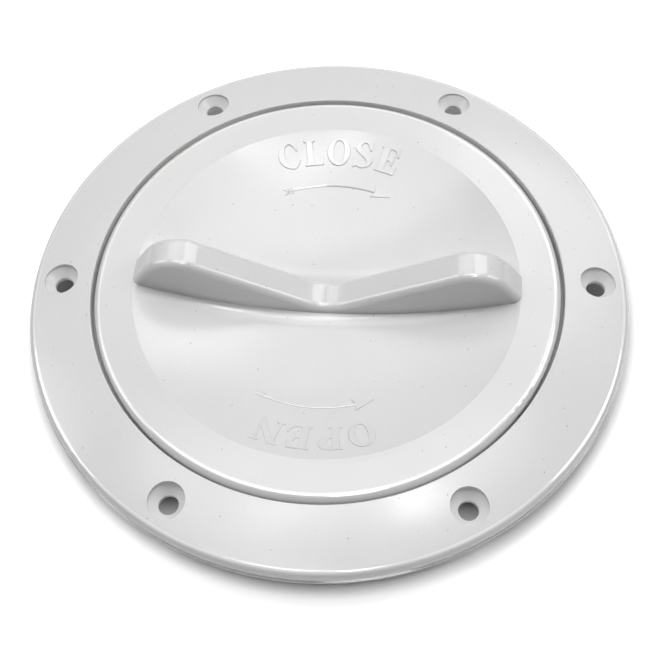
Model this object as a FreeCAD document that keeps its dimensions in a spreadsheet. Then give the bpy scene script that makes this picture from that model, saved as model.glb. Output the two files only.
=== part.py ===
"""Screw-in deck inspection plate of the 125 mm (5 inch) class.

A deck ring is screwed to the deck, with its collar down in a round cut-out. A dished lid with a
grip bar screws into the collar on a coarse right-hand thread, and a rubber O-ring under the lid's
rim seals against a conical seat in the ring.

Frame: millimetres, +Z up and out of the deck. The origin is on the axis, in the plane of the deck,
which is the underside of the ring's flange. +X runs through one of the six screw holes.
"""
import FreeCAD
import Part
import math
import os
import Sketcher
from FreeCAD import Vector

# Driving dimensions: name, value, meaning. Lengths in millimetres, angles in degrees.
SIZES = [
    ("clear_opening", 125.0, "free diameter through the ring, inside its thread"),
    ("collar_depth", 14.0, "collar below the deck surface"),
    ("collar_wall", 2.6, "collar outside the root of its thread"),
    ("flange_height", 6.0, "top of the flange beside the lid, above the deck"),
    ("flange_width", 18.2, "flange from the lid recess to its rim"),
    ("flange_wall", 2.6, "moulded wall over the cored underside"),
    ("flange_round", 2.0, "rounding of the flange's outer top edge"),
    ("lip_width", 0.25, "step at the foot of the flange's outer face, where the mould parts"),
    ("lip_height", 0.7, "height of that step above the deck"),
    ("recess_round", 0.3, "rounding of the recess's top edge"),
    ("crown_drop", 2.4, "fall of the crowned top from the recess to the rim"),
    ("crown_radius", 350.0, "radius of the crown in section"),
    ("land_width", 2.6, "outer face that beds on the deck"),
    ("screw_count", 6, "screw holes"),
    ("screw_inset", 9.45, "screw circle outside the lid recess"),
    ("screw_hole", 5.3, "clearance hole for a 4.8 mm countersunk screw"),
    ("screw_head", 9.9, "countersink diameter"),
    ("screw_sink", 1.25, "depth of the straight wall above the countersink"),
    ("screw_head_angle", 90.0, "included angle of the countersink"),
    ("boss_diameter", 13.4, "boss round each screw hole on the underside"),
    ("thread_lead", 5.0, "rise of the single-start thread in one turn"),
    ("thread_depth", 1.4, "height of each thread ridge"),
    ("thread_flank", 30.0, "flank angle from square to the axis"),
    ("thread_play", 0.35, "axial gap at each flank"),
    ("thread_clearance", 0.3, "radial gap between crest and root"),
    ("thread_foot", 0.9, "collar left plain below the thread"),
    ("ring_thread_turns", 1.75, "turns of the ridge in the collar"),
    ("lid_thread_turns", 1.5, "turns of the ridge on the lid"),
    ("lid_gap", 0.85, "gap round the lid in its recess"),
    ("rim_overhang", 3.75, "lid rim outside its threaded skirt"),
    ("rim_thickness", 3.8, "lid rim at its edge"),
    ("rim_width", 11.15, "flat rim between the lid's edge and its dish"),
    ("rim_round", 1.8, "rounding of the lid's top edge"),
    ("dish_depth", 11.2, "middle of the dish below the rim"),
    ("dish_round", 6.0, "rounding where the rim turns down into the dish"),
    ("lid_wall", 3.0, "moulded wall of the dish and rim"),
    ("skirt_wall", 2.5, "wall of the threaded skirt"),
    ("skirt_inset", 0.4, "skirt foot above the collar's foot"),
    ("foot_chamfer", 0.35, "chamfer on the feet of skirt and collar"),
    ("seal_section", 2.6, "cord diameter of the O-ring"),
    ("seal_gap", 0.15, "room round the O-ring before it is squeezed"),
    ("grip_width", 9.8, "width of the grip bar"),
    ("grip_peak", 10.7, "top of the bar's two arms above the rim"),
    ("grip_valley", 2.6, "bar above the dish at its middle"),
    ("grip_peak_radius", 11.9, "rounding over each arm's top"),
    ("grip_valley_radius", 11.3, "rounding of the valley between the arms"),
    ("grip_end_angle", 55.4, "fall of the bar's two ends"),
    ("grip_reach", 1.15, "feet of the bar outside the dish's edge"),
    ("grip_round", 2.0, "rounding of the bar's long edges"),
    ("grip_wall", 2.6, "wall of the bar, which is cored from below"),
    ("grip_turn", -2.7, "where the bar stands when the lid is tight, from +X"),
    ("weld", 0.2, "how far a raised feature runs into the wall that carries it"),
]

# Places worked out from the driving dimensions: name, formula.
PLACES = [
    # radii, from the thread outwards
    ("ring_crest", "Sizes.clear_opening / 2"),
    ("ring_root", "ring_crest + Sizes.thread_depth"),
    ("collar_outside", "ring_root + Sizes.collar_wall"),
    ("lid_root", "ring_crest - Sizes.thread_clearance"),
    ("lid_crest", "ring_root - Sizes.thread_clearance"),
    ("skirt_inside", "lid_root - Sizes.skirt_wall"),
    ("lid_edge", "lid_root + Sizes.rim_overhang"),
    ("recess", "lid_edge + Sizes.lid_gap"),
    ("flange_edge", "recess + Sizes.flange_width"),
    ("outer_face", "flange_edge - Sizes.lip_width"),
    ("core_inside", "recess + Sizes.flange_wall"),
    ("core_outside", "flange_edge - Sizes.land_width"),
    ("screw_circle", "recess + Sizes.screw_inset"),
    ("dish_edge", "lid_edge - Sizes.rim_width"),
    # heights of the flange
    ("deck", "0"),
    ("top", "Sizes.flange_height"),
    ("flange_edge_top", "top - Sizes.crown_drop"),
    ("crown_slope", "Sizes.crown_drop / Sizes.flange_width"),
    ("core_top_inside", "top - crown_slope * Sizes.flange_wall - Sizes.flange_wall"),
    ("core_top_outside", "flange_edge_top + crown_slope * Sizes.land_width - Sizes.flange_wall"),
    ("boss_top", "top - Sizes.flange_wall + Sizes.weld"),
    ("collar_foot", "-Sizes.collar_depth"),
    # screw holes
    ("hole_radius", "Sizes.screw_hole / 2"),
    ("head_radius", "Sizes.screw_head / 2"),
    ("hole_inner", "screw_circle - hole_radius"),
    ("head_inner", "screw_circle - head_radius"),
    ("cone_top", "top - crown_slope * Sizes.screw_inset - Sizes.screw_sink"),
    ("cone_foot", "cone_top - (head_radius - hole_radius) / tan(Sizes.screw_head_angle / 2)"),
    ("hole_start", "top + 1"),
    ("hole_end", "-1"),
    # seal and its conical seat
    ("rim_under", "top - Sizes.rim_thickness"),
    ("seal_radius", "Sizes.seal_section / 2"),
    ("seal_room", "seal_radius + Sizes.seal_gap"),
    ("seal_circle", "lid_root + seal_room"),
    ("seal_height", "rim_under - seal_room"),
    ("seat_line", "seal_circle - seal_height + sqrt(2) * seal_room"),
    ("seat_top", "recess - seat_line"),
    ("seat_foot", "ring_root - seat_line"),
    # thread ridges, half a lead apart so that both flanks have the same play
    ("flank_run", "tan(Sizes.thread_flank)"),
    ("shared_flank", "(Sizes.thread_depth - Sizes.thread_clearance) * flank_run"),
    ("crest_half", "(Sizes.thread_lead / 2 - Sizes.thread_play - shared_flank) / 2"),
    ("root_half", "crest_half + Sizes.thread_depth * flank_run"),
    ("weld_half", "root_half + Sizes.weld * flank_run"),
    ("ring_weld", "ring_root + Sizes.weld"),
    ("ring_ridge", "collar_foot + Sizes.thread_foot + root_half"),
    ("ring_weld_low", "ring_ridge - weld_half"),
    ("ring_weld_high", "ring_ridge + weld_half"),
    ("ring_crest_low", "ring_ridge - crest_half"),
    ("ring_crest_high", "ring_ridge + crest_half"),
    ("lid_weld", "lid_root - Sizes.weld"),
    ("lid_ridge", "ring_ridge + Sizes.thread_lead * Sizes.grip_turn / 360"),
    ("lid_weld_low", "lid_ridge - weld_half"),
    ("lid_weld_high", "lid_ridge + weld_half"),
    ("lid_crest_low", "lid_ridge - crest_half"),
    ("lid_crest_high", "lid_ridge + crest_half"),
    # lid
    ("lid_foot", "collar_foot + Sizes.skirt_inset"),
    ("dish_floor", "top - Sizes.dish_depth"),
    ("dish_under", "dish_floor - Sizes.lid_wall"),
    ("rim_inside", "top - Sizes.lid_wall"),
    ("dish_radius", "(dish_edge ^ 2 + Sizes.dish_depth ^ 2) / (2 * Sizes.dish_depth)"),
    ("round_reach", "dish_radius + Sizes.dish_round"),
    ("round_drop", "dish_radius + Sizes.dish_round - Sizes.dish_depth"),
    ("rim_start", "sqrt(round_reach ^ 2 - round_drop ^ 2)"),
    ("dish_end", "rim_start * dish_radius / round_reach"),
    ("dish_end_height", "dish_floor + dish_radius * (1 - round_drop / round_reach)"),
    ("under_radius", "dish_radius + Sizes.lid_wall"),
    ("dish_under_edge", "sqrt(under_radius ^ 2 - (under_radius - Sizes.dish_depth) ^ 2)"),
    # grip bar in elevation: valley arc, straight arm, peak arc, straight end, foot in the dish wall
    ("grip_foot", "dish_edge + Sizes.grip_reach"),
    ("grip_foot_height", "top - Sizes.lid_wall / 2"),
    ("grip_sole", "dish_floor - Sizes.lid_wall / 2"),
    ("sole_sag", "grip_foot_height - grip_sole"),
    ("sole_radius", "(grip_foot ^ 2 + sole_sag ^ 2) / (2 * sole_sag)"),
    ("peak_height", "top + Sizes.grip_peak"),
    ("peak_centre", "peak_height - Sizes.grip_peak_radius"),
    ("end_sine", "sin(Sizes.grip_end_angle)"),
    ("end_cosine", "cos(Sizes.grip_end_angle)"),
    ("end_rise", "peak_centre + Sizes.grip_peak_radius * end_cosine - grip_foot_height"),
    ("end_run", "end_rise * end_cosine / end_sine"),
    ("peak_place", "grip_foot - end_run - Sizes.grip_peak_radius * end_sine"),
    ("valley_height", "dish_floor + Sizes.grip_valley"),
    ("valley_centre", "valley_height + Sizes.grip_valley_radius"),
    ("centre_fall", "valley_centre - peak_centre"),
    ("centre_distance", "sqrt(peak_place ^ 2 + centre_fall ^ 2)"),
    ("radius_sum", "Sizes.grip_valley_radius + Sizes.grip_peak_radius"),
    ("arm_angle", "asin(radius_sum / centre_distance) - atan(centre_fall / peak_place)"),
    ("arm_sine", "sin(arm_angle)"),
    ("arm_cosine", "cos(arm_angle)"),
    ("valley_end", "Sizes.grip_valley_radius * arm_sine"),
    ("valley_end_height", "valley_centre - Sizes.grip_valley_radius * arm_cosine"),
    ("arm_end", "peak_place - Sizes.grip_peak_radius * arm_sine"),
    ("arm_end_height", "peak_centre + Sizes.grip_peak_radius * arm_cosine"),
    ("peak_end", "peak_place + Sizes.grip_peak_radius * end_sine"),
    ("peak_end_height", "peak_centre + Sizes.grip_peak_radius * end_cosine"),
    # core of the bar: the same outline one wall further in, open below
    ("core_width", "Sizes.grip_width - 2 * Sizes.grip_wall"),
    ("core_valley_radius", "Sizes.grip_valley_radius + Sizes.grip_wall"),
    ("core_peak_radius", "Sizes.grip_peak_radius - Sizes.grip_wall"),
    ("core_valley_end", "core_valley_radius * arm_sine"),
    ("core_valley_end_height", "valley_centre - core_valley_radius * arm_cosine"),
    ("core_arm_end", "peak_place - core_peak_radius * arm_sine"),
    ("core_arm_end_height", "peak_centre + core_peak_radius * arm_cosine"),
    ("core_peak_end", "peak_place + core_peak_radius * end_sine"),
    ("core_peak_end_height", "peak_centre + core_peak_radius * end_cosine"),
    ("core_mouth", "dish_under - Sizes.weld"),
    ("core_foot_height", "rim_inside - Sizes.lid_wall"),
    ("core_foot_rise", "core_peak_end_height - core_foot_height"),
    ("core_foot", "core_peak_end + core_foot_rise * end_cosine / end_sine"),
]

doc = FreeCAD.newDocument("deck_plate")


def add_sheet(name, rows):
    """A sheet of named cells, with what each one is in the column beside it."""
    sheet = doc.addObject("Spreadsheet::Sheet", name)
    for row, (alias, content, note) in enumerate(rows, start=1):
        cell = f"A{row}"
        sheet.set(cell, content)
        sheet.setAlias(cell, alias)
        sheet.set(f"B{row}", note)
    doc.recompute()
    return sheet


sizes = add_sheet("Sizes", [(alias, str(value), note) for alias, value, note in SIZES])
places = add_sheet("Places", [(alias, "=" + formula, "") for alias, formula in PLACES])


size_names = {alias for alias, value, note in SIZES}


def place(name):
    """The number in a cell of either sheet. A leading minus gives its negative."""
    if name.startswith("-"):
        return -place(name[1:])
    if name == "axis":
        return 0.0
    sheet = sizes if name in size_names else places
    return float(sheet.get(name))


def formula(name):
    """The expression that binds a dimension to a cell of either sheet."""
    if name.startswith("-"):
        return "-" + formula(name[1:])
    return ("Sizes." if name in size_names else "Places.") + name


def add_sketch(body, name, plane_role="XZ_Plane"):
    """A sketch on one of the body's own origin planes."""
    plane = next(item for item in body.Origin.OriginFeatures if item.Role == plane_role)
    sketch = body.newObject("Sketcher::SketchObject", name)
    sketch.AttachmentSupport = [(plane, "")]
    sketch.MapMode = "FlatFace"
    return sketch


def bind(sketch, constraint, expression):
    """Adds a dimension and ties it to an expression."""
    index = sketch.addConstraint(constraint)
    sketch.setExpression(f"Constraints[{index}]", expression)


def arc_between(start, end, radius, left):
    """Arc from start to end that bulges to the left or the right of the way it runs."""
    chord = end - start
    middle = (start + end) * 0.5
    side = Vector(-chord.y, chord.x, 0).normalize()
    height = math.sqrt(radius * radius - chord.Length * chord.Length / 4)
    centre = middle - side * height if left else middle + side * height
    first, last = (end, start) if left else (start, end)
    angles = [math.atan2(point.y - centre.y, point.x - centre.x) for point in (first, last)]
    circle = Part.Circle(centre, Vector(0, 0, 1), radius)
    return Part.ArcOfCircle(circle, angles[0], angles[1])


def draw_outline(sketch, corners, arcs=None):
    """A closed outline whose corners are pairs of place names.

    arcs maps the number of a side to its radius name and whether it bulges to the left of the
    way round. The other sides are straight. Every corner is dimensioned from the origin.
    """
    arcs = arcs or {}
    points = [Vector(place(across), place(up), 0) for across, up in corners]
    starts = []
    ends = []
    for side, start in enumerate(points):
        end = points[(side + 1) % len(points)]
        if side in arcs:
            radius_name, left = arcs[side]
            geometry = sketch.addGeometry(arc_between(start, end, place(radius_name), left))
            bind(sketch, Sketcher.Constraint("Radius", geometry, place(radius_name)),
                 formula(radius_name))
            starts.append((geometry, 2 if left else 1))
            ends.append((geometry, 1 if left else 2))
        else:
            geometry = sketch.addGeometry(Part.LineSegment(start, end))
            starts.append((geometry, 1))
            ends.append((geometry, 2))
    for side, (across, up) in enumerate(corners):
        geometry, point = starts[side]
        sketch.addConstraint(Sketcher.Constraint("Coincident", *ends[side - 1], geometry, point))
        if across == "axis":
            sketch.addConstraint(Sketcher.Constraint("PointOnObject", geometry, point, -2))
        else:
            bind(sketch, Sketcher.Constraint("DistanceX", -1, 1, geometry, point, place(across)),
                 formula(across))
        bind(sketch, Sketcher.Constraint("DistanceY", -1, 1, geometry, point, place(up)),
             formula(up))


def revolve(body, name, sketch):
    """A full turn of a section about the body's axis."""
    feature = body.newObject("PartDesign::Revolution", name)
    feature.Profile = sketch
    feature.ReferenceAxis = (sketch, ["V_Axis"])
    feature.Angle = 360
    doc.recompute()
    return feature


def edges_where(shape, test):
    """Names of the edges whose every corner and middle pass a test of radius and height."""
    names = []
    for index, edge in enumerate(shape.Edges, start=1):
        middle = edge.valueAt((edge.FirstParameter + edge.LastParameter) / 2)
        points = [vertex.Point for vertex in edge.Vertexes] + [middle]
        if all(test(math.hypot(point.x, point.y), point) for point in points):
            names.append(f"Edge{index}")
    return names


def dress_edges(body, kind, name, base, edge_names, size_name):
    """A fillet or chamfer on named edges, with its size bound to the sheet."""
    feature = body.newObject(f"PartDesign::{kind}", name)
    feature.Base = (base, edge_names)
    feature.setExpression("Radius" if kind == "Fillet" else "Size", "Sizes." + size_name)
    doc.recompute()
    return feature


def near(value, target):
    """Whether two lengths are the same to a hundredth of a millimetre."""
    return abs(value - target) < 0.01


def add_thread(body, name, corners, turns_name):
    """A trapezoid ridge wound up the axis as a right-hand helix."""
    section = add_sketch(body, name + "_section")
    draw_outline(section, corners)
    helix = body.newObject("PartDesign::AdditiveHelix", name)
    helix.Profile = section
    helix.ReferenceAxis = (section, ["V_Axis"])
    helix.Mode = "pitch-turns-angle"
    helix.setExpression("Pitch", "Sizes.thread_lead")
    helix.setExpression("Turns", "Sizes." + turns_name)
    doc.recompute()
    return helix


def repeat_round(body, feature, name):
    """The feature repeated evenly about the body's vertical axis."""
    pattern = body.newObject("PartDesign::PolarPattern", name)
    pattern.Originals = [feature]
    axis = next(item for item in body.Origin.OriginFeatures if item.Role == "Z_Axis")
    pattern.Axis = (axis, [""])
    pattern.Angle = 360
    pattern.setExpression("Occurrences", "Sizes.screw_count")
    body.Tip = pattern
    doc.recompute()
    return pattern


def mirrored(corners):
    """The corners of one half of an outline, then the other half from the end back."""
    return corners + [("-" + across, up) for across, up in reversed(corners)]


def build_ring():
    """Flange, recess, seat and collar in one moulding, with the thread inside the collar."""
    body = doc.addObject("PartDesign::Body", "RingBody")
    body.Label = "deck_ring"
    section = add_sketch(body, "ring_section")
    corners = [
        ("recess", "top"),
        ("outer_face", "flange_edge_top"),
        ("outer_face", "lip_height"),
        ("flange_edge", "lip_height"),
        ("flange_edge", "deck"),
        ("core_outside", "deck"),
        ("core_outside", "core_top_outside"),
        ("core_inside", "core_top_inside"),
        ("core_inside", "deck"),
        ("collar_outside", "deck"),
        ("collar_outside", "collar_foot"),
        ("ring_root", "collar_foot"),
        ("ring_root", "seat_foot"),
        ("recess", "seat_top"),
    ]
    draw_outline(section, corners, {0: ("crown_radius", True)})
    ring = revolve(body, "ring_turned", section)

    rounded = edges_where(ring.Shape, lambda radius, point: near(radius, place("outer_face"))
                          and near(point.z, place("flange_edge_top")))
    ring = dress_edges(body, "Fillet", "flange_rounding", ring, rounded, "flange_round")
    rounded = edges_where(ring.Shape, lambda radius, point: near(radius, place("recess"))
                          and near(point.z, place("top")))
    ring = dress_edges(body, "Fillet", "recess_rounding", ring, rounded, "recess_round")
    chamfered = edges_where(ring.Shape, lambda radius, point: near(radius, place("collar_outside"))
                            and near(point.z, place("collar_foot")))
    dress_edges(body, "Chamfer", "collar_chamfer", ring, chamfered, "foot_chamfer")

    # A solid boss carries each screw through the cored flange.
    boss_sketch = add_sketch(body, "boss_circle", "XY_Plane")
    centre = Vector(place("screw_circle"), 0, 0)
    circle = boss_sketch.addGeometry(Part.Circle(centre, Vector(0, 0, 1), 5))
    boss_sketch.addConstraint(Sketcher.Constraint("PointOnObject", circle, 3, -1))
    bind(boss_sketch, Sketcher.Constraint("DistanceX", -1, 1, circle, 3, centre.x),
         formula("screw_circle"))
    bind(boss_sketch, Sketcher.Constraint("Diameter", circle, 10.0), "Sizes.boss_diameter")
    boss = body.newObject("PartDesign::Pad", "boss")
    boss.Profile = boss_sketch
    boss.setExpression("Length", formula("boss_top"))
    doc.recompute()
    repeat_round(body, boss, "bosses")

    # Each hole: a short straight wall, the countersink and the clearance hole, about its own axis.
    hole_sketch = add_sketch(body, "hole_section")
    corners = [
        ("screw_circle", "hole_start"),
        ("head_inner", "hole_start"),
        ("head_inner", "cone_top"),
        ("hole_inner", "cone_foot"),
        ("hole_inner", "hole_end"),
        ("screw_circle", "hole_end"),
    ]
    draw_outline(hole_sketch, corners)
    axis = hole_sketch.addGeometry(
        Part.LineSegment(Vector(centre.x, place("hole_end"), 0),
                         Vector(centre.x, place("hole_start"), 0)), True)
    hole_sketch.addConstraint(Sketcher.Constraint("Coincident", axis, 1, 4, 2))
    hole_sketch.addConstraint(Sketcher.Constraint("Coincident", axis, 2, 0, 1))
    before = body.Shape.Volume
    hole = body.newObject("PartDesign::Groove", "screw_hole")
    hole.Profile = hole_sketch
    hole.ReferenceAxis = (hole_sketch, ["Axis0"])
    hole.Angle = 360
    doc.recompute()
    one_hole = before - body.Shape.Volume
    repeat_round(body, hole, "screw_holes")
    all_holes = before - body.Shape.Volume
    print("one screw hole", round(one_hole, 1), "mm3, all", round(all_holes, 1), "mm3")
    hole_count = round(float(sizes.get("screw_count")))
    if one_hole <= 0 or abs(all_holes - one_hole * hole_count) > 1:
        raise RuntimeError("the screw holes do not cut the flange as they should")

    add_thread(body, "collar_thread", [
        ("ring_weld", "ring_weld_low"),
        ("ring_weld", "ring_weld_high"),
        ("ring_crest", "ring_crest_high"),
        ("ring_crest", "ring_crest_low"),
    ], "ring_thread_turns")
    return body


def build_lid():
    """Dish, rim, grip bar and threaded skirt in one moulding."""
    body = doc.addObject("PartDesign::Body", "LidBody")
    body.Label = "lid"

    # The bar in elevation, from foot to foot, sunk into the dish wall.
    bar_sketch = add_sketch(body, "bar_outline")
    corners = [
        ("-grip_foot", "grip_foot_height"),
        ("grip_foot", "grip_foot_height"),
        ("peak_end", "peak_end_height"),
        ("arm_end", "arm_end_height"),
        ("valley_end", "valley_end_height"),
        ("-valley_end", "valley_end_height"),
        ("-arm_end", "arm_end_height"),
        ("-peak_end", "peak_end_height"),
    ]
    arcs = {
        0: ("sole_radius", False),
        2: ("grip_peak_radius", False),
        4: ("grip_valley_radius", True),
        6: ("grip_peak_radius", False),
    }
    draw_outline(bar_sketch, corners, arcs)
    bar = body.newObject("PartDesign::Pad", "bar")
    bar.Profile = bar_sketch
    bar.SideType = "Symmetric"
    bar.setExpression("Length", "Sizes.grip_width")
    doc.recompute()
    half_width = float(sizes.get("grip_width")) / 2
    sole = place("grip_sole")
    rounded = []
    for index, edge in enumerate(bar.Shape.Edges, start=1):
        middle = edge.valueAt((edge.FirstParameter + edge.LastParameter) / 2)
        sides = [vertex.Point.y for vertex in edge.Vertexes] + [middle.y]
        lengthwise = all(near(abs(side), half_width) for side in sides)
        if lengthwise and not near(middle.z, sole):
            rounded.append(f"Edge{index}")
    dress_edges(body, "Fillet", "bar_rounding", bar, rounded, "grip_round")

    section = add_sketch(body, "lid_section")
    corners = [
        ("axis", "dish_floor"),
        ("dish_end", "dish_end_height"),
        ("rim_start", "top"),
        ("lid_edge", "top"),
        ("lid_edge", "rim_under"),
        ("lid_root", "rim_under"),
        ("lid_root", "lid_foot"),
        ("skirt_inside", "lid_foot"),
        ("skirt_inside", "rim_inside"),
        ("dish_under_edge", "rim_inside"),
        ("axis", "dish_under"),
    ]
    arcs = {
        0: ("dish_radius", False),
        1: ("dish_round", True),
        9: ("under_radius", True),
    }
    draw_outline(section, corners, arcs)
    lid = revolve(body, "lid_turned", section)

    # The bar is cored from below to keep one wall thickness.
    before = lid.Shape.Volume
    core_sketch = add_sketch(body, "core_outline")
    corners = mirrored([
        ("core_foot", "core_mouth"),
        ("core_foot", "core_foot_height"),
        ("core_peak_end", "core_peak_end_height"),
        ("core_arm_end", "core_arm_end_height"),
        ("core_valley_end", "core_valley_end_height"),
    ])
    arcs = {
        2: ("core_peak_radius", False),
        4: ("core_valley_radius", True),
        6: ("core_peak_radius", False),
    }
    draw_outline(core_sketch, corners, arcs)
    core = body.newObject("PartDesign::Pocket", "bar_core")
    core.Profile = core_sketch
    core.SideType = "Symmetric"
    core.setExpression("Length", formula("core_width"))
    doc.recompute()
    removed = before - core.Shape.Volume
    print("core of the bar", round(removed, 1), "mm3")
    if removed <= 0:
        raise RuntimeError("the core cuts nothing from the bar")

    rounded = edges_where(core.Shape, lambda radius, point: near(radius, place("lid_edge"))
                          and near(point.z, place("top")))
    lid = dress_edges(body, "Fillet", "rim_rounding", core, rounded, "rim_round")
    chamfered = edges_where(lid.Shape, lambda radius, point: near(radius, place("lid_root"))
                            and near(point.z, place("lid_foot")))
    dress_edges(body, "Chamfer", "skirt_chamfer", lid, chamfered, "foot_chamfer")

    add_thread(body, "skirt_thread", [
        ("-lid_weld", "lid_weld_low"),
        ("-lid_weld", "lid_weld_high"),
        ("-lid_crest", "lid_crest_high"),
        ("-lid_crest", "lid_crest_low"),
    ], "lid_thread_turns")

    # The bar's own length is modelled along X. The tight lid stands turned from it.
    body.Placement.Rotation = FreeCAD.Rotation(Vector(0, 0, 1), 1)
    body.setExpression("Placement.Rotation.Angle", "Sizes.grip_turn * 1 deg")
    doc.recompute()
    return body


def build_seal():
    """The O-ring, which stands round the skirt under the lid's rim."""
    seal = doc.addObject("Part::Torus", "SealRing")
    seal.Label = "o_ring"
    seal.setExpression("Radius1", formula("seal_circle"))
    seal.setExpression("Radius2", formula("seal_radius"))
    seal.setExpression("Placement.Base.z", formula("seal_height"))
    doc.recompute()
    return seal


def check_document(pieces):
    """Stops unless every object is up to date and every piece is one valid solid."""
    faults = [item.Name for item in doc.Objects
              if "Invalid" in item.State or "Error" in item.State]
    for piece in pieces:
        shape = piece.Shape
        if shape.isNull() or not shape.isValid() or len(shape.Solids) != 1:
            faults.append(piece.Label)
    if faults:
        raise RuntimeError("not built: " + ", ".join(faults))


def write_pieces(pieces):
    """One STEP file for each piece, named after it."""
    os.makedirs("parts", exist_ok=True)
    for piece in pieces:
        piece.Shape.exportStep(f"parts/{piece.Label}.step")
        box = piece.Shape.optimalBoundingBox()
        print(piece.Label, "x", round(box.XMin, 2), round(box.XMax, 2),
              "y", round(box.YMin, 2), round(box.YMax, 2),
              "z", round(box.ZMin, 2), round(box.ZMax, 2),
              "volume", round(piece.Shape.Volume, 1))


made = [build_ring(), build_lid(), build_seal()]
doc.recompute()
check_document(made)
write_pieces(made)
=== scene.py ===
"""Looks of a screw-in deck inspection plate: a deck ring, a dished lid and an O-ring.

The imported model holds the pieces. This script dresses them in moulded plastic and rubber, adds the
raised words and arrows on the lid, and sets up a plain studio with the camera. Lengths are in metres
and angles in degrees.
"""

import logging
import math
from dataclasses import dataclass, field
from enum import Enum

import bmesh
import bpy
from mathutils import Matrix, Vector


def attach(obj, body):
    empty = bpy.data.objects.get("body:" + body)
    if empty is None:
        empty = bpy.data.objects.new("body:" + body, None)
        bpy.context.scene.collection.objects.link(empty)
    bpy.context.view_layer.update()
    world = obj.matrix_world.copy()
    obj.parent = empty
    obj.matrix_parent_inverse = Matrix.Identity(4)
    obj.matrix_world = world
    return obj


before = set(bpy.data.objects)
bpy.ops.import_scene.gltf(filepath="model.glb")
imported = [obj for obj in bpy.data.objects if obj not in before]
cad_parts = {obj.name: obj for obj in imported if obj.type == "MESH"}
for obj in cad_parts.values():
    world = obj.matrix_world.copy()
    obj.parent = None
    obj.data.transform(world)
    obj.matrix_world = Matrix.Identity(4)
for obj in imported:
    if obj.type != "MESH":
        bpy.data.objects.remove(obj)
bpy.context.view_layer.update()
log = logging.getLogger("deck_plate")

MM = 0.001

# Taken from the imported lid: how far its bar is turned, in degrees, and the radius of its dish.
GRIP_TURN = -2.7
DISH_EDGE = 54.8 * MM

# The mix node has sockets for each kind of data, and only their numbers tell them apart.
MIX_FACTOR = 0
MIX_FLOATS = (2, 3)
MIX_COLOURS = (6, 7)
MIX_FLOAT_RESULT = 0
MIX_COLOUR_RESULT = 2


class Body(Enum):
    """The bodies that a piece can ride on."""

    RING = "deck_ring"
    SEAL = "seal"
    LID = "lid"


class Slot(Enum):
    """The record's material slots."""

    RING_PLASTIC = "ring_plastic"
    LID_PLASTIC = "lid_plastic"
    SEAL_RUBBER = "seal_rubber"


class Turn(Enum):
    """Which way an arrow points round the lid, seen from above, as the sign of its angle."""

    CLOCKWISE = -1.0
    ANTICLOCKWISE = 1.0


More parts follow.
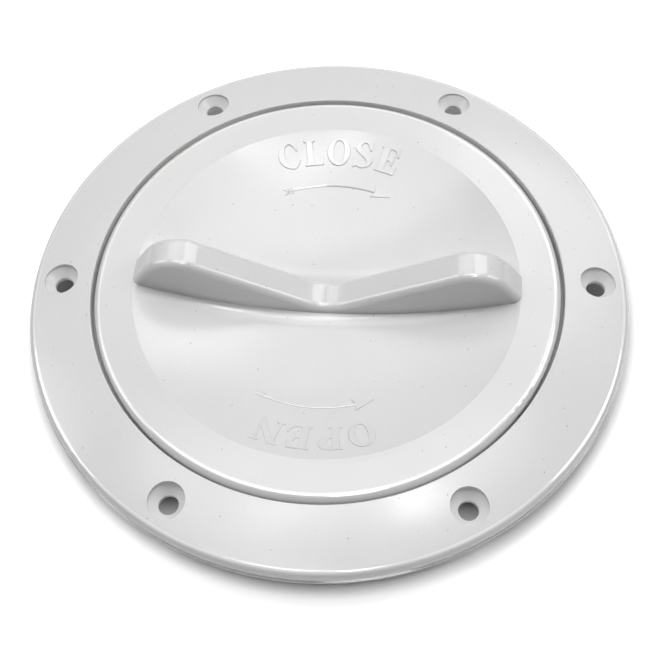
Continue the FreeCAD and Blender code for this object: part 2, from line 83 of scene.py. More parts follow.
class Finish:
    """A node tree being put together for one finish."""

    def __init__(self, name: str) -> None:
        """Starts an empty tree with its shader and output.

        Args:
            name: The material's name.
        """
        self.material = bpy.data.materials.new(name)
        self.material.use_nodes = True
        self.tree = self.material.node_tree
        self.tree.nodes.clear()
        self.shader = self.add("ShaderNodeBsdfPrincipled")
        output = self.add("ShaderNodeOutputMaterial")
        self.link(self.shader.outputs["BSDF"], output.inputs["Surface"])
        where = self.add("ShaderNodeTexCoord")
        self.place = where.outputs["Object"]
        self.facing = where.outputs["Normal"]

    def add(self, kind: str, **settings: object) -> bpy.types.Node:
        """Adds a node.

        Args:
            kind: Blender's name for the node's type.
            settings: Properties of the node, by name.

        Returns:
            The new node.
        """
        node = self.tree.nodes.new(kind)
        for name, value in settings.items():
            setattr(node, name, value)
        return node

    def link(self, source: bpy.types.NodeSocket, target: bpy.types.NodeSocket) -> None:
        """Joins an output to an input."""
        self.tree.links.new(source, target)

    def noise(self, scale: float, detail: float = 2.0,
              roughness: float = 0.5) -> bpy.types.NodeSocket:
        """Adds a noise that is fixed to the piece.

        Args:
            scale: Waves per metre.
            detail: How many finer layers it has.
            roughness: How strong the finer layers are.

        Returns:
            The noise's value, from 0 to 1.
        """
        node = self.add("ShaderNodeTexNoise")
        node.inputs["Scale"].default_value = scale
        node.inputs["Detail"].default_value = detail
        node.inputs["Roughness"].default_value = roughness
        self.link(self.place, node.inputs["Vector"])
        return node.outputs["Fac"]

    def span(self, value: bpy.types.NodeSocket, low: float, high: float, to_low: float,
             to_high: float) -> bpy.types.NodeSocket:
        """Maps a value from one range to another, without leaving it.

        Args:
            value: The value to map.
            low: Start of its range.
            high: End of its range.
            to_low: What the start becomes.
            to_high: What the end becomes.

        Returns:
            The mapped value.
        """
        node = self.add("ShaderNodeMapRange", clamp=True)
        for name, number in (("From Min", low), ("From Max", high), ("To Min", to_low),
                             ("To Max", to_high)):
            node.inputs[name].default_value = number
        self.link(value, node.inputs["Value"])
        return node.outputs["Result"]

    def math(self, operation: str, first: bpy.types.NodeSocket,
             second: bpy.types.NodeSocket | float | None = None) -> bpy.types.NodeSocket:
        """Combines two values, or changes one.

        Args:
            operation: Blender's name for the operation.
            first: The first value.
            second: The second value, or a number, where the operation takes one.

        Returns:
            The result.
        """
        node = self.add("ShaderNodeMath", operation=operation)
        self.link(first, node.inputs[0])
        if isinstance(second, float):
            node.inputs[1].default_value = second
        elif second is not None:
            self.link(second, node.inputs[1])
        return node.outputs["Value"]

    def mix(self, factor: bpy.types.NodeSocket, first: bpy.types.NodeSocket,
            second: float) -> bpy.types.NodeSocket:
        """Mixes a value with a number.

        Args:
            factor: How much of the number shows.
            first: The value.
            second: The number.

        Returns:
            The mixed value.
        """
        node = self.add("ShaderNodeMix", data_type="FLOAT")
        self.link(factor, node.inputs[MIX_FACTOR])
        self.link(first, node.inputs[MIX_FLOATS[0]])
        node.inputs[MIX_FLOATS[1]].default_value = second
        return node.outputs[MIX_FLOAT_RESULT]

    def radius(self, centre: tuple[float, float] = (0.0, 0.0)) -> bpy.types.NodeSocket:
        """Measures how far a point lies from an upright line.

        Args:
            centre: Where the line stands, seen from above.

        Returns:
            The distance in metres.
        """
        flat = self.add("ShaderNodeVectorMath", operation="MULTIPLY_ADD")
        self.link(self.place, flat.inputs[0])
        flat.inputs[1].default_value = (1.0, 1.0, 0.0)
        flat.inputs[2].default_value = (-centre[0], -centre[1], 0.0)
        away = self.add("ShaderNodeVectorMath", operation="LENGTH")
        self.link(flat.outputs["Vector"], away.inputs[0])
        return away.outputs["Value"]

    def strip(self, turn: float, half_length: float, half_width: float,
              soft: float = 0.3 * MM) -> bpy.types.NodeSocket:
        """Marks an upright block that stands on the axis.

        Args:
            turn: Angle of the block's long side, in degrees.
            half_length: Half of its long side.
            half_width: Half of its short side.
            soft: How far the mark fades outside the block.

        Returns:
            1 in the block and 0 outside it.
        """
        turned = self.add("ShaderNodeMapping")
        turned.inputs["Rotation"].default_value = (0.0, 0.0, math.radians(-turn))
        self.link(self.place, turned.inputs["Vector"])
        parts = self.add("ShaderNodeSeparateXYZ")
        self.link(turned.outputs["Vector"], parts.inputs["Vector"])
        inside = []
        for axis, half in (("X", half_length), ("Y", half_width)):
            away = self.math("ABSOLUTE", parts.outputs[axis])
            inside.append(self.span(away, half, half + soft, 1.0, 0.0))
        return self.math("MULTIPLY", *inside)

    def blend(self, factor: bpy.types.NodeSocket, first: bpy.types.NodeSocket | tuple,
              second: bpy.types.NodeSocket | tuple) -> bpy.types.NodeSocket:
        """Mixes two colours.

        Args:
            factor: How much of the second shows.
            first: A colour, or a socket that gives one.
            second: A colour, or a socket that gives one.

        Returns:
            The mixed colour.
        """
        node = self.add("ShaderNodeMix", data_type="RGBA")
        self.link(factor, node.inputs[MIX_FACTOR])
        for item, number in zip((first, second), MIX_COLOURS):
            if isinstance(item, tuple):
                node.inputs[number].default_value = (*item, 1.0)
            else:
                self.link(item, node.inputs[number])
        return node.outputs[MIX_COLOUR_RESULT]

    def relief(self, height: bpy.types.NodeSocket, depth: float,
               under: bpy.types.NodeSocket | None = None,
               amount: bpy.types.NodeSocket | None = None) -> bpy.types.NodeSocket:
        """Turns a height into a bumped normal.

        Args:
            height: The height, from 0 to 1.
            depth: Metres between 0 and 1.
            under: A normal that the bump lies on.
            amount: How much of the bump shows, from 0 to 1.

        Returns:
            The bumped normal.
        """
        node = self.add("ShaderNodeBump")
        node.inputs["Strength"].default_value = 1.0
        node.inputs["Distance"].default_value = depth
        self.link(height, node.inputs["Height"])
        if under is not None:
            self.link(under, node.inputs["Normal"])
        if amount is not None:
            self.link(amount, node.inputs["Strength"])
        return node.outputs["Normal"]


@dataclass(frozen=True)
class MouldedPlastic:
    """White injection-moulded plastic with a fine moulded skin and a little dust."""

    name: str
    colour: tuple[float, float, float] = (0.745, 0.75, 0.745)
    shade: tuple[float, float, float] = (0.705, 0.712, 0.705)
    cloud_scale: float = 24.0
    cloud_range: tuple[float, float] = (0.35, 0.75)
    grain_scale: float = 1500.0
    grain_range: tuple[float, float] = (0.35, 0.65)
    grain_share: float = 0.55
    dust_colour: tuple[float, float, float] = (0.34, 0.33, 0.31)
    dust_cells: float = 160.0
    dust_size: float = 0.036
    dust_core: float = 0.6
    dust_share: float = 0.36
    dust_soft: float = 0.01
    dust_upright: tuple[float, float] = (0.6, 0.8)
    skin_scale: float = 2600.0
    skin_depth: float = 0.006 * MM
    flow_scale: float = 34.0
    flow_depth: float = 0.06 * MM
    roughness: float = 0.17
    patch_scale: float = 60.0
    patch_range: tuple[float, float] = (0.3, 0.7)
    patch_change: tuple[float, float] = (-0.04, 0.05)
    refraction: float = 1.5
    polish: float = 0.08
    polished_from: float = 1.0
    polish_soft: float = 0.4 * MM
    gloss: float = 1.0
    coat_refraction: float = 1.8
    edge_highlight_colour: tuple[float, float, float] = (0.97, 0.97, 0.96)
    edge_highlight_start: tuple[float, float] = (-0.15 * MM, 0.05 * MM)
    edge_highlight_end: tuple[float, float] = (0.50 * MM, 0.80 * MM)
    edge_highlight_scale: float = 70.0
    edge_highlight_range: tuple[float, float] = (0.35, 0.60)
    edge_highlight_least: float = 0.80

    def material(self) -> bpy.types.Material:
        """Builds the material.

        Returns:
            The finished material.
        """
        finish = Finish(self.name)
        shader = finish.shader
        cloud = finish.span(finish.noise(self.cloud_scale, 3.0, 0.6), *self.cloud_range, 0.0, 1.0)
        grain = finish.noise(self.grain_scale)
        grain = finish.span(grain, *self.grain_range, 0.0, self.grain_share)
        colour = finish.blend(cloud, self.colour, self.shade)
        colour = finish.blend(grain, colour, self.shade)
        colour = finish.blend(self.dust(finish), colour, self.dust_colour)
        # Painted highlight: a thin near-white line along the outer edge stands in for the lamps'
        # reflection on its rounding.
        colour = finish.blend(self.painted_edge_highlight(finish), colour, self.edge_highlight_colour)
        finish.link(colour, shader.inputs["Base Color"])
        less, more = self.patch_change
        patch = finish.noise(self.patch_scale, 4.0, 0.6)
        rough = finish.span(patch, *self.patch_range, self.roughness + less, self.roughness + more)
        polished = self.polished(finish)
        finish.link(finish.mix(polished, rough, self.polish), shader.inputs["Roughness"])
        finish.link(polished, shader.inputs["Coat Weight"])
        shader.inputs["Coat Roughness"].default_value = self.polish
        shader.inputs["Coat IOR"].default_value = self.coat_refraction
        shader.inputs["IOR"].default_value = self.refraction
        flow = finish.relief(finish.noise(self.flow_scale, 1.0), self.flow_depth)
        lines = self.mould_lines(finish, flow)
        skin = finish.relief(finish.noise(self.skin_scale), self.skin_depth, lines)
        finish.link(skin, shader.inputs["Normal"])
        return finish.material

    def mould_lines(self, finish: Finish, under: bpy.types.NodeSocket) -> bpy.types.NodeSocket:
        """Gives the normal back as it is, because a plain moulding has no fine forms of its own."""
        return under

    def polished(self, finish: Finish) -> bpy.types.NodeSocket:
        """Marks the outer edge, where the mould is polished.

        Args:
            finish: The tree to build in.

        Returns:
            Up to the gloss on the outer edge and 0 elsewhere.
        """
        start = self.polished_from - self.polish_soft
        return finish.span(finish.radius(), start, self.polished_from, 0.0, self.gloss)

    def painted_edge_highlight(self, finish: Finish) -> bpy.types.NodeSocket:
        """Marks the thin line along the outer edge that is painted bright as a highlight, in place of
        the lamps' reflection on the rounded edge.

        Args:
            finish: The tree to build in.

        Returns:
            Up to 1 on the line and 0 elsewhere.
        """
        away = finish.math("SUBTRACT", finish.radius(), self.polished_from)
        inner = finish.span(away, *self.edge_highlight_start, 0.0, 1.0)
        outer = finish.span(away, *self.edge_highlight_end, 1.0, 0.0)
        highlight_breakup = finish.noise(self.edge_highlight_scale, 3.0, 0.6)
        highlight_breakup = finish.span(highlight_breakup, *self.edge_highlight_range, self.edge_highlight_least, 1.0)
        return finish.math("MULTIPLY", finish.math("MULTIPLY", inner, outer), highlight_breakup)

    def dust(self, finish: Finish) -> bpy.types.NodeSocket:
        """Scatters small specks, one in some of the cells of a pattern.

        Args:
            finish: The tree to build in.

        Returns:
            Up to 1 on a speck and 0 beside it.
        """
        upright = finish.add("ShaderNodeSeparateXYZ")
        finish.link(finish.facing, upright.inputs["Vector"])
        top = finish.span(upright.outputs["Z"], *self.dust_upright, 0.0, 1.0)
        cells = finish.add("ShaderNodeTexVoronoi", voronoi_dimensions="2D")
        cells.inputs["Scale"].default_value = self.dust_cells
        finish.link(finish.place, cells.inputs["Vector"])
        core = self.dust_size * self.dust_core
        near = finish.span(cells.outputs["Distance"], core, self.dust_size, 1.0, 0.0)
        pick = finish.add("ShaderNodeSeparateColor")
        finish.link(cells.outputs["Color"], pick.inputs["Color"])
        share_end = self.dust_share + self.dust_soft
        chosen = finish.span(pick.outputs["Red"], self.dust_share, share_end, 1.0, 0.0)
        faint = finish.math("MULTIPLY", finish.math("MULTIPLY", near, chosen), top)
        return finish.math("MULTIPLY", faint, pick.outputs["Green"])


@dataclass(frozen=True)
class LidPlastic(MouldedPlastic):
    """The lid's plastic, glossier on the bar and at its foot, with the mould's fine forms.

    They are the crease round the dish, the fillet at the bar's foot and the gate's ridge.
    """

    polished_from: float = 64.0 * MM
    crease_reach: float = 1.22 * MM
    crease_depth: float = 0.124 * MM
    dish_soft: float = 1.0 * MM
    grip_half_length: float = 55.6 * MM
    grip_half_width: float = 4.9 * MM
    grip_soft: float = 0.1 * MM
    grip_gloss: float = 0.3
    shiny_half_length: float = 55.3 * MM
    foot_half_length: float = 90.0 * MM
    foot_reach: float = 6.0 * MM
    foot_rise: float = 1.26 * MM
    foot_gloss: float = 0.9
    gate_half_length: float = 2.4 * MM
    gate_half_width: float = 0.15 * MM
    gate_rise: float = 0.12 * MM

    def mould_lines(self, finish: Finish, under: bpy.types.NodeSocket) -> bpy.types.NodeSocket:
        """Sharpens the crease round the dish, rounds the bar's foot and adds the gate's ridge.

        Args:
            finish: The tree to build in.
            under: The normal that they lie on.

        Returns:
            The bumped normal.
        """
        away = finish.math("ABSOLUTE", finish.math("SUBTRACT", finish.radius(), DISH_EDGE))
        near = finish.span(away, 0.0, self.crease_reach, 1.0, 0.0)
        crease = finish.relief(finish.math("MULTIPLY", near, near), self.crease_depth, under)
        on_grip = finish.strip(GRIP_TURN, self.grip_half_length, self.grip_half_width, self.grip_soft)
        on_dish = finish.mix(on_grip, self.in_dish(finish), 0.0)
        foot = finish.relief(self.beside_grip(finish), self.foot_rise, crease, on_dish)
        gate = finish.strip(GRIP_TURN + 90.0, self.gate_half_length, self.gate_half_width)
        return finish.relief(gate, self.gate_rise, foot)

    def in_dish(self, finish: Finish) -> bpy.types.NodeSocket:
        """Marks the dish with 1 and what lies round it with 0."""
        return finish.span(finish.radius(), DISH_EDGE - self.dish_soft, DISH_EDGE, 1.0, 0.0)

    def beside_grip(self, finish: Finish) -> bpy.types.NodeSocket:
        """Marks the bar's line across the lid with 1, fading to 0 at the fillet's reach from it."""
        near = finish.strip(GRIP_TURN, self.foot_half_length, self.grip_half_width, self.foot_reach)
        return finish.math("MULTIPLY", near, near)

    def polished(self, finish: Finish) -> bpy.types.NodeSocket:
        """Marks where the mould is polished: the outer edge, the bar and its foot.

        Args:
            finish: The tree to build in.

        Returns:
            How polished it is, from 0 to 1.
        """
        foot = finish.math("MULTIPLY", self.beside_grip(finish), self.in_dish(finish))
        foot = finish.math("MULTIPLY", foot, self.foot_gloss)
        on_grip = finish.strip(GRIP_TURN, self.shiny_half_length, self.grip_half_width)
        grip = finish.mix(on_grip, foot, self.grip_gloss)
        return finish.math("MAXIMUM", super().polished(finish), grip)


@dataclass(frozen=True)
class SealRubber:
    """Smooth dark rubber with a slight bloom."""

    name: str
    colour: tuple[float, float, float] = (0.014, 0.014, 0.015)
    bloom: tuple[float, float, float] = (0.030, 0.030, 0.030)
    bloom_scale: float = 120.0
    bloom_range: tuple[float, float] = (0.4, 0.8)
    roughness: float = 0.5
    skin_scale: float = 1800.0
    skin_depth: float = 0.008 * MM

    def material(self) -> bpy.types.Material:
        """Builds the material.

        Returns:
            The finished material.
        """
        finish = Finish(self.name)
        cloud = finish.span(finish.noise(self.bloom_scale, 3.0), *self.bloom_range, 0.0, 1.0)
        finish.link(finish.blend(cloud, self.colour, self.bloom), finish.shader.inputs["Base Color"])
        finish.shader.inputs["Roughness"].default_value = self.roughness
        skin = finish.relief(finish.noise(self.skin_scale), self.skin_depth)
        finish.link(skin, finish.shader.inputs["Normal"])
        return finish.material


@dataclass
class Moulding:
    """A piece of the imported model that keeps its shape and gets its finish."""

    node: str
    finish: MouldedPlastic | SealRubber

    def dress(self) -> None:
        """Puts the finish on the node."""
        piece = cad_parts[self.node]
        piece.data.materials.clear()
        piece.data.materials.append(self.finish.material())
        log.info("%s dressed in %s", self.node, self.finish.name)


@dataclass
class Glyph:
    """A letter as closed outlines, in hundredths of its height.

    A point is across, up and whether the outline runs smoothly through it.
    """

    width: float
    outlines: list[list[tuple[float, float, bool]]]


def corners(*points: tuple[float, float]) -> list[tuple[float, float, bool]]:
    """Marks points as corners of an outline."""
    return [(across, up, False) for across, up in points]


def smooth(*points: tuple[float, float]) -> list[tuple[float, float, bool]]:
    """Marks points as places that an outline runs smoothly through."""
    return [(across, up, True) for across, up in points]


def roman_letters() -> dict[str, Glyph]:
    """Draws the plain roman capitals that the two words need.

    Returns:
        The glyph of each letter.
    """
    return {
        "C": Glyph(82, [corners((78, 101), (73, 101), (68, 95))
                        + smooth((46, 102), (0, 50), (46, -2), (70, 8))
                        + corners((82, 26), (78, 29))
                        + smooth((64, 12), (49, 6), (24, 50), (46, 96), (62, 88))
                        + corners((73, 66), (78, 66))]),
        "L": Glyph(74, [corners((0, 100), (42, 100), (42, 95), (32, 91), (32, 6), (46, 6), (61, 14),
                                (69, 33), (74, 33), (71, 0), (0, 0), (0, 5), (10, 9), (10, 91),
                                (0, 95))]),
        "O": Glyph(90, [smooth((45, 102), (90, 50), (45, -2), (0, 50)),
                        smooth((45, 96), (23, 50), (45, 4), (67, 50))]),
        "S": Glyph(76, [corners((68, 102), (62, 102), (57, 96))
                        + smooth((33, 102), (2, 75), (24, 50), (50, 32), (55, 19), (34, 4))
                        + corners((9, 34), (3, 34), (3, -2), (9, -2), (15, 4))
                        + smooth((39, -2), (75, 27), (54, 54), (26, 70), (21, 82), (39, 96))
                        + corners((62, 69), (68, 69))]),
        "E": Glyph(82, [corners((0, 100), (75, 100), (79, 70), (73, 70), (66, 87), (53, 94), (35, 94),
                                (35, 55), (46, 55), (54, 60), (57, 71), (62, 71), (62, 33), (57, 33),
                                (54, 44), (46, 49), (35, 49), (35, 6), (55, 6), (69, 13), (78, 32),
                                (83, 32), (80, 0), (0, 0), (0, 5), (10, 9), (10, 91), (0, 95))]),
        "P": Glyph(80, [corners((0, 100), (47, 100)) + smooth((70, 94), (81, 72), (69, 50))
                        + corners((48, 44), (34, 44), (34, 9), (46, 5), (46, 0), (0, 0), (0, 5),
                                  (10, 9), (10, 91), (0, 95)),
                        corners((34, 94), (34, 50), (42, 50)) + smooth((55, 72),)
                        + corners((42, 94),)]),
        "N": Glyph(92, [corners((0, 100), (31, 100), (75, 36), (75, 91), (65, 95), (65, 100),
                                (93, 100), (93, 95), (82, 91), (82, -3), (77, -3), (17, 83), (17, 9),
                                (28, 5), (28, 0), (0, 0), (0, 5), (10, 9), (10, 91), (0, 95))]),
    }


@dataclass(frozen=True)
class Word:
    """A word on the lid, with the angle of its middle and the angle from letter to letter."""

    text: str
    middle: float
    pitch: float


@dataclass
class LidMarkings:
    """Raised words and arrows on the dish that show which way the lid turns."""

    material: bpy.types.Material
    shaft_material: bpy.types.Material
    dish_depth: float = 11.2 * MM
    rim_height: float = 6.0 * MM
    words: tuple[Word, ...] = (Word("CLOSE", 89.8, 9.3), Word("OPEN", -89.0, 10.0))
    letter_foot: float = 44.0 * MM
    letter_height: float = 7.7 * MM
    relief: float = 0.33 * MM
    sunk: float = 0.25 * MM
    edge: float = 0.16 * MM
    growth: float = 0.10 * MM
    outline_steps: int = 8
    edge_steps: int = 2
    arrows: tuple[tuple[float, Turn], ...] = ((89.0, Turn.CLOCKWISE), (-90.6, Turn.ANTICLOCKWISE))
    arrow_radius: float = 37.5 * MM
    arrow_span: float = 49.6
    shaft_slot: int = 1
    shaft_width: float = 0.75 * MM
    shaft_sides: int = 8
    shaft_steps: int = 28
    head_length: float = 5.4 * MM
    head_width: float = 3.6 * MM
    head_notch: float = 0.72
    neck_share: float = 0.86
    feathers: int = 3
    feather_start: float = 1.2
    feather_pitch: float = 1.7
    feather_length: float = 0.85 * MM
    feather_width: float = 0.35 * MM
    feather_drop: float = 0.08 * MM
    letters: dict[str, Glyph] = field(default_factory=roman_letters)

    @property
    def dish_radius(self) -> float:
        """Radius of the sphere that the dish is part of."""
        return (DISH_EDGE ** 2 + self.dish_depth ** 2) / (2.0 * self.dish_depth)

    def dish_height(self, across: float, along: float) -> float:
        """Height of the dish's surface at a place seen from above."""
        centre = self.rim_height - self.dish_depth + self.dish_radius
        return centre - math.sqrt(self.dish_radius ** 2 - across ** 2 - along ** 2)

    def gather(self, target: bmesh.types.BMesh, mesh: bpy.types.Mesh, drop: float = 0.0) -> None:
        """Lets a flat slab follow the dish and adds it to the others.

        Args:
            target: Gathers the laid pieces.
            mesh: The slab, in its place seen from above. It is used up.
            drop: How much lower than the other markings it lies.
        """
        lift = (self.relief - self.sunk) / 2.0 - drop
        for vertex in mesh.vertices:
            vertex.co.z += self.dish_height(vertex.co.x, vertex.co.y) + lift
        target.from_mesh(mesh)
        bpy.data.meshes.remove(mesh)

    def flat_piece(self, name: str, outlines: list[list[tuple[float, float, bool]]],
                   scale: float) -> bpy.types.Mesh:
        """Raises closed outlines into a low slab with rounded edges.

        Args:
            name: The mesh's name.
            outlines: Points of each outline, as in a glyph.
            scale: Metres in one unit of the outlines.

        Returns:
            The slab, with its middle height at 0.
        """
        curve = bpy.data.curves.new(name, "CURVE")
        curve.dimensions = "2D"
        curve.fill_mode = "BOTH"
        curve.resolution_u = self.outline_steps
        curve.extrude = (self.relief + self.sunk) / 2.0 - self.edge
        curve.bevel_depth = self.edge
        curve.bevel_resolution = self.edge_steps
        curve.offset = self.growth - self.edge
        for outline in outlines:
            spline = curve.splines.new("BEZIER")
            spline.bezier_points.add(len(outline) - 1)
            spline.use_cyclic_u = True
            for point, (across, up, is_smooth) in zip(spline.bezier_points, outline):
                point.co = (across * scale, up * scale, 0.0)
                kind = "AUTO" if is_smooth else "VECTOR"
                point.handle_left_type = kind
                point.handle_right_type = kind
        holder = bpy.data.objects.new(name, curve)
        bpy.context.scene.collection.objects.link(holder)
        graph = bpy.context.evaluated_depsgraph_get()
        mesh = bpy.data.meshes.new_from_object(holder.evaluated_get(graph))
        bpy.data.objects.remove(holder)
        bpy.data.curves.remove(curve)
        return mesh

    def lay_on_dish(self, target: bmesh.types.BMesh, mesh: bpy.types.Mesh, angle: float,
                    radius: float, drop: float = 0.0) -> None:
        """Turns a flat slab to its place round the lid and lays it on the dish.

        Args:
            target: Gathers the laid pieces.
            mesh: The slab, whose up direction becomes outwards.
            angle: Place round the lid, in degrees from the bar's right end.
            radius: Distance of the slab's origin from the axis.
            drop: How much lower than the other markings it lies.
        """
        turned = Matrix.Rotation(math.radians(angle - 90.0 + GRIP_TURN), 4, "Z")
        mesh.transform(turned @ Matrix.Translation((0.0, radius, 0.0)))
        self.gather(target, mesh, drop)

    def word(self, target: bmesh.types.BMesh, word: Word) -> None:
        """Lays a word round the lid with its letters' tops outwards.

        Args:
            target: Gathers the letters.
            word: The word and its place.
        """
        scale = self.letter_height / 100.0
        for number, letter in enumerate(word.text):
            glyph = self.letters[letter]
            angle = word.middle + ((len(word.text) - 1) / 2.0 - number) * word.pitch
            shifted = [[(across - glyph.width / 2.0, up, is_smooth)
                        for across, up, is_smooth in outline] for outline in glyph.outlines]
            mesh = self.flat_piece("letter", shifted, scale)
            self.lay_on_dish(target, mesh, angle, self.letter_foot)

    def arrow(self, target: bmesh.types.BMesh, middle: float, turn: Turn) -> None:
        """Lays an arrow with a head and a feathered tail along a circle round the lid.

        Args:
            target: Gathers the arrow.
            middle: Angle of its middle, in degrees.
            turn: Which way it points.
        """
        side = turn.value
        half = self.arrow_span / 2.0
        tip_angle = middle + side * half
        tail_angle = middle - side * half
        head_angle = math.degrees(self.head_length / self.arrow_radius)
        self.shaft(target, tail_angle, tip_angle - side * head_angle * self.neck_share)
        ahead = -side * self.head_length / MM / 2.0
        wide = self.head_width / MM / 2.0
        head = corners((ahead, 0.0), (-ahead, wide), (-self.head_notch * ahead, 0.0), (-ahead, -wide))
        self.lay_on_dish(target, self.flat_piece("arrow_head", [head], MM),
                         tip_angle - side * head_angle / 2.0, self.arrow_radius)
        for step in range(self.feathers):
            angle = tail_angle + side * (self.feather_start + self.feather_pitch * step)
            for edge in (-1.0, 1.0):
                self.feather(target, angle, side, edge)

    def feather(self, target: bmesh.types.BMesh, angle: float, side: float, edge: float) -> None:
        """Lays one slanted bar of an arrow's tail.

        Args:
            target: Gathers the bar.
            angle: Where it leaves the shaft, in degrees.
            side: 1 where the arrow points anticlockwise and -1 where it points clockwise.
            edge: 1 for the shaft's outer side and -1 for its inner side.
        """
        long = self.feather_length / MM
        wide = self.feather_width / MM
        bar = corners((0.0, 0.0), (side * long, edge * long), (side * (long + wide), edge * long),
                      (side * wide, 0.0))
        mesh = self.flat_piece("feather", [bar], MM)
        self.lay_on_dish(target, mesh, angle, self.arrow_radius, self.feather_drop)

    def shaft(self, target: bmesh.types.BMesh, start: float, end: float) -> None:
        """Sweeps the arrow's shaft along its circle.

        Args:
            target: Gathers the shaft.
            start: Angle of its tail, in degrees.
            end: Angle of its neck, in degrees.
        """
        sweep = bmesh.new()
        bmesh.ops.create_circle(sweep, cap_ends=False, segments=self.shaft_sides, radius=1.0)
        height = (self.relief + self.sunk) / 2.0
        place = (Matrix.Translation((self.arrow_radius, 0.0, 0.0))
                 @ Matrix.Diagonal((self.shaft_width / 2.0, 1.0, height, 1.0))
                 @ Matrix.Rotation(math.radians(90.0), 4, "X"))
        first = Matrix.Rotation(math.radians(start + GRIP_TURN), 4, "Z")
        bmesh.ops.transform(sweep, matrix=first @ place, verts=sweep.verts)
        bmesh.ops.spin(sweep, geom=sweep.verts[:] + sweep.edges[:], axis=(0, 0, 1), cent=(0, 0, 0),
                       angle=math.radians(end - start), steps=self.shaft_steps)
        bmesh.ops.holes_fill(sweep, edges=[edge for edge in sweep.edges if edge.is_boundary])
        bmesh.ops.recalc_face_normals(sweep, faces=sweep.faces)
        mesh = bpy.data.meshes.new("shaft")
        sweep.to_mesh(mesh)
        sweep.free()
        for face in mesh.polygons:
            face.material_index = self.shaft_slot
        self.gather(target, mesh)

    def build(self) -> bpy.types.Object:
        """Makes the markings as one piece on the lid.

        Returns:
            The piece.
        """
        gathered = bmesh.new()
        for word in self.words:
            self.word(gathered, word)
        for middle, turn in self.arrows:
            self.arrow(gathered, middle, turn)
        mesh = bpy.data.meshes.new("lid_markings")
        gathered.to_mesh(mesh)
        gathered.free()
        for material in (self.material, self.shaft_material):
            mesh.materials.append(material)
        piece = bpy.data.objects.new("lid_markings", mesh)
        bpy.context.scene.collection.objects.link(piece)
        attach(piece, Body.LID.value)
        log.info("lid_markings has %d faces", len(mesh.polygons))
        return piece


@dataclass(frozen=True)
class SoftBox:
    """A flat lamp with an even face, hung over the table and pointed at the plate."""

    name: str
    place: tuple[float, float, float]
    width: float
    depth: float
    power: float

    def hang(self) -> None:
        """Adds the lamp to the scene."""
        light = bpy.data.lights.new(self.name, "AREA")
        light.shape = "ELLIPSE"
        light.size = self.width
        light.size_y = self.depth
        light.energy = self.power
        holder = bpy.data.objects.new(self.name, light)
        holder.location = self.place
        holder.rotation_euler = (-Vector(self.place)).to_track_quat("-Z", "Y").to_euler()
        bpy.context.scene.collection.objects.link(holder)


@dataclass(frozen=True)
class TableTop:
    """Matt white paint with painted shade under the plate, that shows as white beside its shadow.

    Far from the plate it shows as plain white, so that it has no visible end.
    """

    name: str = "table_white"
    colour: tuple[float, float, float] = (0.86, 0.86, 0.86)
    painted_shade_colour: tuple[float, float, float] = (0.25, 0.25, 0.25)
    roughness: float = 0.9
    # Centre of the painted shade under the plate and of the glow round it, set back from the axis.
    centre: tuple[float, float] = (0.0, 8.0 * MM)
    painted_shade_full_to: float = 84.0 * MM
    painted_shade_fade_to: float = 88.0 * MM
    lift: float = 0.60
    shaded_to: float = 89.2 * MM
    white_from: float = 93.5 * MM
    fade_from: float = 200.0 * MM
    plain_from: float = 450.0 * MM
    spill: float = 0.24
    spill_to: float = -63.5 * MM
    dark_from: float = -58.5 * MM

    def material(self) -> bpy.types.Material:
        """Builds the material.

        Returns:
            The finished material.
        """
        finish = Finish(self.name)
        shader = finish.shader
        shader.inputs["Roughness"].default_value = self.roughness
        shader.inputs["Specular IOR Level"].default_value = 0.0
        away = finish.radius(self.centre)
        # Painted shade: the table's colour turns dark under the plate, where shade falls.
        clear = finish.span(away, self.painted_shade_full_to, self.painted_shade_fade_to, 0.0, 1.0)
        colour = finish.blend(clear, self.painted_shade_colour, self.colour)
        finish.link(colour, shader.inputs["Base Color"])
        # Painted shadow edge: the camera-only glow starts some way out from the plate, so the grey
        # band beside it is partly real shadow and partly painted.
        glow = finish.span(away, self.shaded_to, self.white_from, 0.0, self.lift)
        glow = finish.math("ADD", glow, self.under_glow(finish, clear))
        beyond = finish.span(away, self.fade_from, self.plain_from, 0.0, 1.0 - self.lift)
        glow = finish.math("ADD", glow, beyond)
        seen = finish.add("ShaderNodeLightPath").outputs["Is Camera Ray"]
        shader.inputs["Emission Color"].default_value = (1.0, 1.0, 1.0, 1.0)
        finish.link(finish.math("MULTIPLY", seen, glow), shader.inputs["Emission Strength"])
        return finish.material

    def under_glow(self, finish: Finish, clear: bpy.types.NodeSocket) -> bpy.types.NodeSocket:
        """Lightens the table under the near holes, where light spills in below the flange.

        Args:
            finish: The tree to build in.
            clear: 0 under the plate and 1 beside it.

        Returns:
            The emission that the spilled light shows as.
        """
        parts = finish.add("ShaderNodeSeparateXYZ")
        finish.link(finish.place, parts.inputs["Vector"])
        near = finish.span(parts.outputs["Y"], self.spill_to, self.dark_from, self.spill, 0.0)
        under = finish.span(clear, 0.0, 1.0, 1.0, 0.0)
        return finish.math("MULTIPLY", near, under)


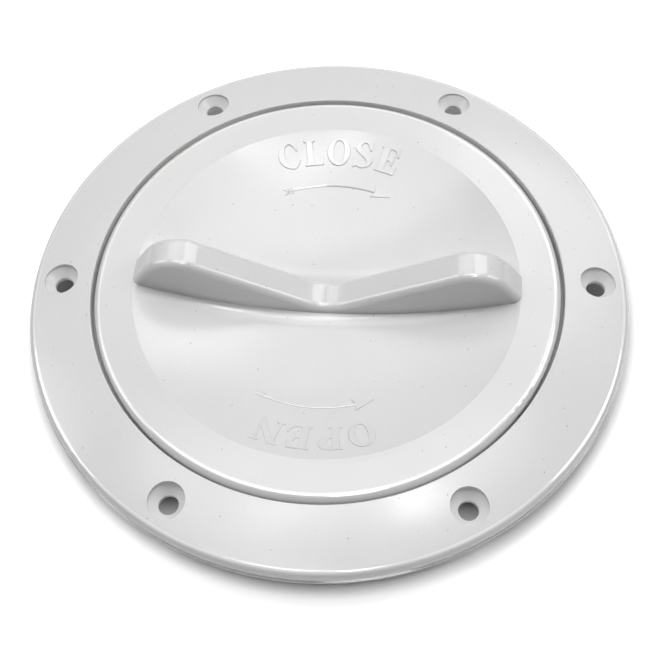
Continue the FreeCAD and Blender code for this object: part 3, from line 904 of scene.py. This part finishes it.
@dataclass
class Studio:
    """A white table under soft boxes in a dim white room, and the camera."""

    table_height: float = -14.05 * MM
    table_size: float = 6.0
    room_strength: float = 0.02
    boxes: tuple[SoftBox, ...] = (
        SoftBox("key_box", (0.06, -0.24, 0.60), 0.16, 0.16, 0.42),
        SoftBox("front_box", (-0.02, -0.13, 0.62), 0.44, 0.06, 0.32),
        SoftBox("top_box", (-0.02, 0.10, 0.64), 0.60, 0.32, 1.50),
        SoftBox("flank_box", (-0.03, 0.045, 0.63), 0.26, 0.045, 0.20),
        SoftBox("spark", (0.10, 0.03, 0.64), 0.07, 0.07, 0.16),
        SoftBox("far_box", (-0.08, 0.57, 0.65), 0.80, 0.30, 0.8),
        SoftBox("left_box", (-0.62, 0.10, 0.55), 0.42, 0.42, 1.3),
        SoftBox("right_box", (0.62, 0.05, 0.55), 0.42, 0.42, 1.5),
        SoftBox("side_box", (0.26, 0.48, 0.62), 0.40, 0.40, 0.95),
    )
    view_from: float = 6.249
    view_height: float = 60.0
    view_roll: float = 4.908
    view_distance: float = 271.67 * MM
    view_target: tuple[float, float, float] = (0.39 * MM, -15.26 * MM, 6.0 * MM)
    focal_length: float = 54.71
    sensor_width: float = 36.0

    def table(self) -> None:
        """Lays the table under the collar."""
        mesh = bpy.data.meshes.new("table")
        built = bmesh.new()
        bmesh.ops.create_grid(built, x_segments=1, y_segments=1, size=self.table_size / 2.0)
        bmesh.ops.translate(built, verts=built.verts, vec=(0.0, 0.0, self.table_height))
        built.to_mesh(mesh)
        built.free()
        mesh.materials.append(TableTop().material())
        piece = bpy.data.objects.new("table", mesh)
        bpy.context.scene.collection.objects.link(piece)

    def room(self) -> None:
        """Lights the scene dimly from all round and shows as plain white behind the table."""
        world = bpy.data.worlds.new("room")
        world.use_nodes = True
        nodes = world.node_tree.nodes
        links = world.node_tree.links
        back = nodes["Background"]
        back.inputs["Color"].default_value = (1.0, 1.0, 1.0, 1.0)
        seen = nodes.new("ShaderNodeLightPath").outputs["Is Camera Ray"]
        strength = nodes.new("ShaderNodeMapRange")
        strength.inputs["To Min"].default_value = self.room_strength
        strength.inputs["To Max"].default_value = 1.0
        links.new(seen, strength.inputs["Value"])
        links.new(strength.outputs["Result"], back.inputs["Strength"])
        bpy.context.scene.world = world

    def camera(self) -> None:
        """Sets the camera where the photograph was taken from."""
        data = bpy.data.cameras.new("camera")
        data.lens = self.focal_length
        data.sensor_width = self.sensor_width
        data.sensor_fit = "HORIZONTAL"
        holder = bpy.data.objects.new("camera", data)
        bpy.context.scene.collection.objects.link(holder)
        around = Matrix.Rotation(math.radians(self.view_from), 4, "Z")
        tilt = Matrix.Rotation(math.radians(90.0 - self.view_height), 4, "X")
        roll = Matrix.Rotation(math.radians(-self.view_roll), 4, "Z")
        back = Matrix.Translation((0.0, 0.0, self.view_distance))
        holder.matrix_world = Matrix.Translation(self.view_target) @ around @ tilt @ back @ roll
        bpy.context.scene.camera = holder

    def build(self) -> None:
        """Sets up the whole studio."""
        self.camera()
        self.table()
        self.room()
        for box in self.boxes:
            box.hang()
        bpy.context.scene.view_settings.view_transform = "Standard"
        log.info("studio ready with %d soft boxes", len(self.boxes))


def main() -> None:
    """Builds the plate and its studio."""
    logging.basicConfig(level=logging.INFO)
    ring = Moulding("deck_ring", MouldedPlastic("ring_white", polished_from=82.9 * MM))
    lid = Moulding("lid", LidPlastic("lid_white"))
    seal = Moulding("o_ring", SealRubber("seal_black"))
    for part in (ring, lid, seal):
        part.dress()
    plain = MouldedPlastic("marking_white", dust_share=0.0, polished_from=0.0, gloss=0.2)
    shiny = MouldedPlastic("shaft_white", dust_share=0.0, polished_from=0.0)
    LidMarkings(plain.material(), shiny.material()).build()
    Studio().build()


if __name__ == "__main__":
    main()
